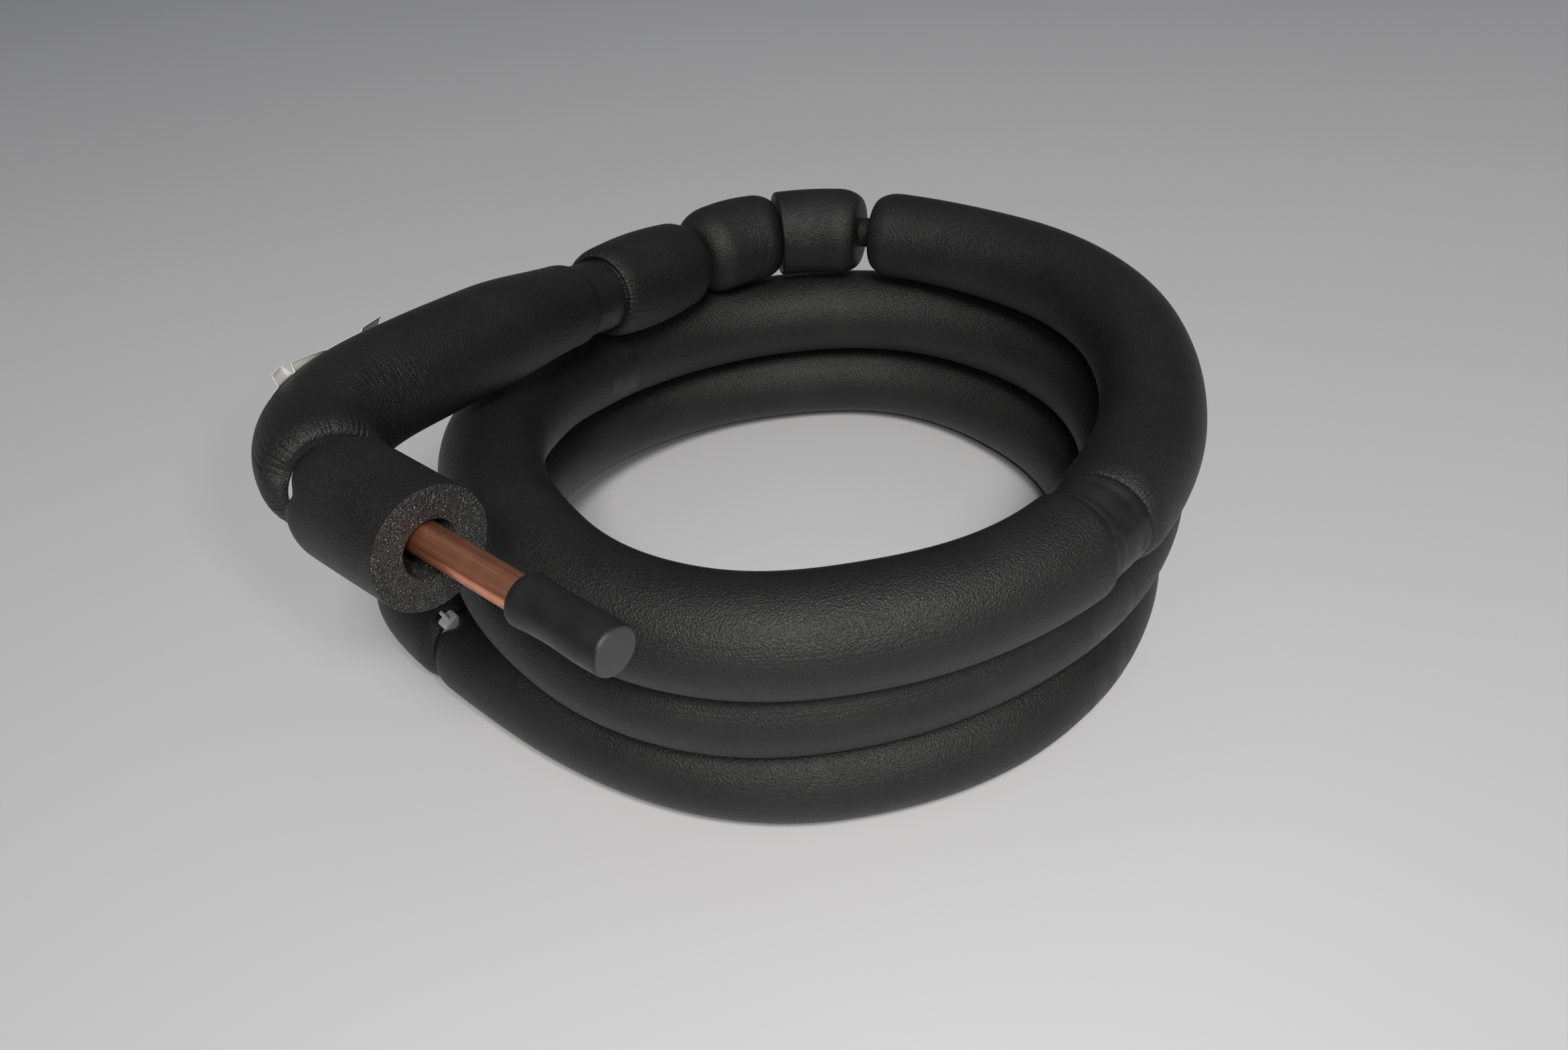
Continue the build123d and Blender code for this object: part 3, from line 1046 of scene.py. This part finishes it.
def rounded_block(centre, axes, sizes, ribs=0.0):
    """A grid over a rounded block: each of its half sizes times powers of sines and cosines of two angles."""
    halves = np.array(sizes) / 2
    rise = np.linspace(-np.pi / 2, np.pi / 2, block_rows)
    turn = ring_angles(block_columns)
    up = squared(np.sin(rise), block_power)[:, None]
    ring = squared(np.cos(rise), block_power)[:, None]
    first = ring * squared(np.cos(turn), block_power)
    second = ring * squared(np.sin(turn), block_power)
    second = second * (1 + ribs * np.cos(3 * np.pi * first))
    points = centre + up[..., None] * halves[0] * axes[0]
    points = points + first[..., None] * halves[1] * axes[1] + second[..., None] * halves[2] * axes[2]
    return points, rise, turn


print("corners of a rounded block:", block_rows * block_columns)

# %% Both ties
strap_radius = 0.01108
strap_thickness = 0.0012
strap_width = 0.0036
strap_powers = (0.5, 0.3)
head_sizes = (0.0046, 0.0052, 0.0065)
stub_sizes = (0.0080, 0.0034, 0.0012)
stub_ribs = 0.3
nylon_material = paint_nylon()


def make_tie(name, head_angle, hang=0.0):
    """A tie around the neck where its node is, with its head at an angle around the tube."""
    station = np.array(np.mean(span(name, thin_reach)))
    centre = on_line(line, station) - np.array([0, 0, hang])
    forward = on_line(along, station)
    inward = on_line(side, station)
    upward = on_line(above, station)
    ring = ring_angles(128)
    section = np.linspace(0, 2 * np.pi, 25)
    reach = strap_radius + strap_thickness / 2 * (1 + squared(np.cos(section), strap_powers[0]))
    slide = strap_width / 2 * squared(np.sin(section), strap_powers[1])
    spokes = np.cos(ring)[:, None] * inward + np.sin(ring)[:, None] * upward
    strap = centre + reach[:, None, None] * spokes[None] + slide[:, None, None] * forward
    outward = np.cos(head_angle) * inward + np.sin(head_angle) * upward
    axes = (outward, forward, np.cross(forward, outward))
    head_place = centre + (strap_radius + (strap_thickness + head_sizes[0]) / 2) * outward
    stub_place = centre + (strap_radius + head_sizes[0]) * outward
    head = rounded_block(head_place, axes, head_sizes)
    stub = rounded_block(stub_place, axes, stub_sizes, stub_ribs)
    piece = add_mesh(f"{name}_strap", [(strap, section, ring), head, stub], weld=True)
    settle(piece, name, nylon_material)
    print(name, "at", np.round(centre, 4))


make_tie("free_end_tie", free_head_angle, end_hang / 2)
make_tie("floor_end_tie", floor_head_angle)

# %% [markdown]
# A plain paper label is stuck around the far side of the bend sleeve. It has nothing on it here. Its
# upper edge has come loose in a few places, where bits of it stand up. Blender's cloth could drape a
# sheet, but paper that is stuck down follows the sleeve, lumps and all. So the sheet is a part of a turn
# of the same grid, and its radius rises towards the edge where it is loose.


# %% Paper
def paint_paper():
    """Plain off-white paper: soft clouds of colour, and fibres as bumps."""
    paint = Paint("label_paper")
    place = paint.place()
    fibres = paint.noise(place, 900.0, 5.0, 0.7)
    clouds = paint.noise(place, 90.0, 3.0)
    paint.set(
        Base_Color=paint.blend(clouds, (0.66, 0.65, 0.60), (0.80, 0.79, 0.75)),
        Roughness=0.75,
        Normal=paint.bump(fibres, 0.00008, 0.5),
    )
    return paint.material


# %% Label
label_gap = 0.00015
label_thickness = 0.0002
flap_edge = 0.03
flap_power = 1.5
label_start, label_finish = span("paper_label", thin_reach)
label_rows = np.linspace(label_start, label_finish, 120)
label_angles = np.radians(np.linspace(122, 224, 120))
label_share = (label_rows - label_start) / (label_finish - label_start)
from_top = (label_angles - label_angles[0]) / (label_angles[-1] - label_angles[0])


def flap(low, high, reach, height, slope=0.0):
    """A loose bit of the upper edge between two shares of the label's length, with steep sides. Its height
    may grow along it by the slope, and falls to nothing within its reach down the sheet."""
    across = smooth_step(label_share, low, low + flap_edge)
    across = across * (1 - smooth_step(label_share, high - flap_edge, high))
    across = across * (1 + slope * (label_share - low) / (high - low))
    return height * across[:, None] * smooth_step(-from_top, -reach, 0.0)[None] ** flap_power


# The loose bits: from and to along the label, reach down it, height and slope
loose_bits = (
    (-0.03, 0.135, 0.06, 0.0036, 0.1),
    (0.16, 0.48, 0.06, 0.0030, -0.95),
    (0.78, 1.06, 0.22, 0.0008, 1.8),
)
lifted = sum(flap(*bit) for bit in loose_bits)
label_radii = foam_radius - lump + lumps(label_rows, label_angles, bend_seed) + label_gap + lifted
label_points = turned(label_rows, label_radii, label_angles)
label = add_mesh("paper_label_sheet", [(label_points, label_rows, label_angles)], closed=False)
thick = label.modifiers.new("thickness", "SOLIDIFY")
thick.thickness = label_thickness
thick.offset = 1
settle(label, "paper_label", paint_paper())
print("label length:", round(float(label_finish - label_start), 4))

# %% [markdown]
# The coil lies on a pale floor, lit by a flash beside the lens and a larger light behind it, with a weak
# wide light from above and a little light from all around. One large light would be simpler, but it
# would leave out the soft shadows beside the free end. Black foam shows its form by its sheen, so where
# the light stands matters more than how strong it is.

# %% Floor
floor_corners = [(-6, -6, 0), (6, -6, 0), (6, 8, 0), (-6, 8, 0)]
floor_mesh = bpy.data.meshes.new("floor")
floor_mesh.from_pydata(floor_corners, [], [(0, 1, 2, 3)])
floor = bpy.data.objects.new("floor", floor_mesh)
bpy.context.scene.collection.objects.link(floor)
floor_paint = Paint("pale_floor")
floor_clouds = floor_paint.noise(floor_paint.place(), 2.5, 3.0)
floor_paint.set(
    Base_Color=floor_paint.blend(floor_clouds, (0.68, 0.68, 0.69), (0.74, 0.74, 0.75)),
    Roughness=0.55,
)
floor_mesh.materials.append(floor_paint.material)
print("floor corners:", len(floor_mesh.vertices))

# %% Camera
camera_place = np.array([0.00501, -0.33698, 0.31163])
camera_right = np.array([0.99766, -0.04280, -0.05324])
camera_up = np.array([0.06831, 0.62514, 0.77751])
camera_back = np.array([0.0, -0.77933, 0.62661])


def facing(place, right, up, back):
    """A placement with these axes: they are the columns of its turn, and the place is its last column."""
    matrix = np.eye(4)
    matrix[:3, :3] = np.stack([right, up, back], axis=1)
    matrix[:3, 3] = place
    return Matrix(matrix.tolist())


camera = bpy.data.cameras.new("camera")
camera.sensor_fit = "HORIZONTAL"
camera.sensor_width = 36.0
camera.lens = 27.46
camera.clip_start = 0.01
viewer = bpy.data.objects.new("camera", camera)
viewer.matrix_world = facing(camera_place, camera_right, camera_up, camera_back)
bpy.context.scene.collection.objects.link(viewer)
bpy.context.scene.camera = viewer
bpy.context.scene.view_settings.view_transform = "Standard"
print("camera at", camera_place)

# %% Light
light_target = (0.0, 0.0, 0.06)
key_place = camera_place + 1.60 * camera_back + 0.45 * camera_up + 0.05 * camera_right
flash_place = camera_place + 0.03 * camera_up + 0.035 * camera_right
fill_place = (0.3, 0.5, 1.7)
warm_white = (1.0, 0.98, 0.96)
cool_white = (0.94, 0.97, 1.0)
sky_colour = (0.88, 0.93, 1.0, 1)


def add_light(name, place, size, power, colour):
    """A soft square light that faces the target: its back is the direction from the target to its place."""
    lamp = bpy.data.lights.new(name, "AREA")
    lamp.shape = "SQUARE"
    lamp.size = size
    lamp.energy = power
    lamp.color = colour
    back = unit(np.array(place) - np.array(light_target))
    right = unit(np.cross([0, 0, 1], back))
    holder = bpy.data.objects.new(name, lamp)
    holder.matrix_world = facing(place, right, np.cross(back, right), back)
    bpy.context.scene.collection.objects.link(holder)


add_light("key", key_place, size=0.56, power=30.0, colour=warm_white)
add_light("flash", flash_place, size=0.03, power=0.4, colour=warm_white)
add_light("fill", fill_place, size=1.6, power=2.0, colour=cool_white)

world = bpy.data.worlds.new("studio")
world.use_nodes = True
background = next(node for node in world.node_tree.nodes if node.type == "BACKGROUND")
background.inputs["Color"].default_value = sky_colour
background.inputs["Strength"].default_value = 0.09
bpy.context.scene.world = world
print("key light at", np.round(key_place, 3))
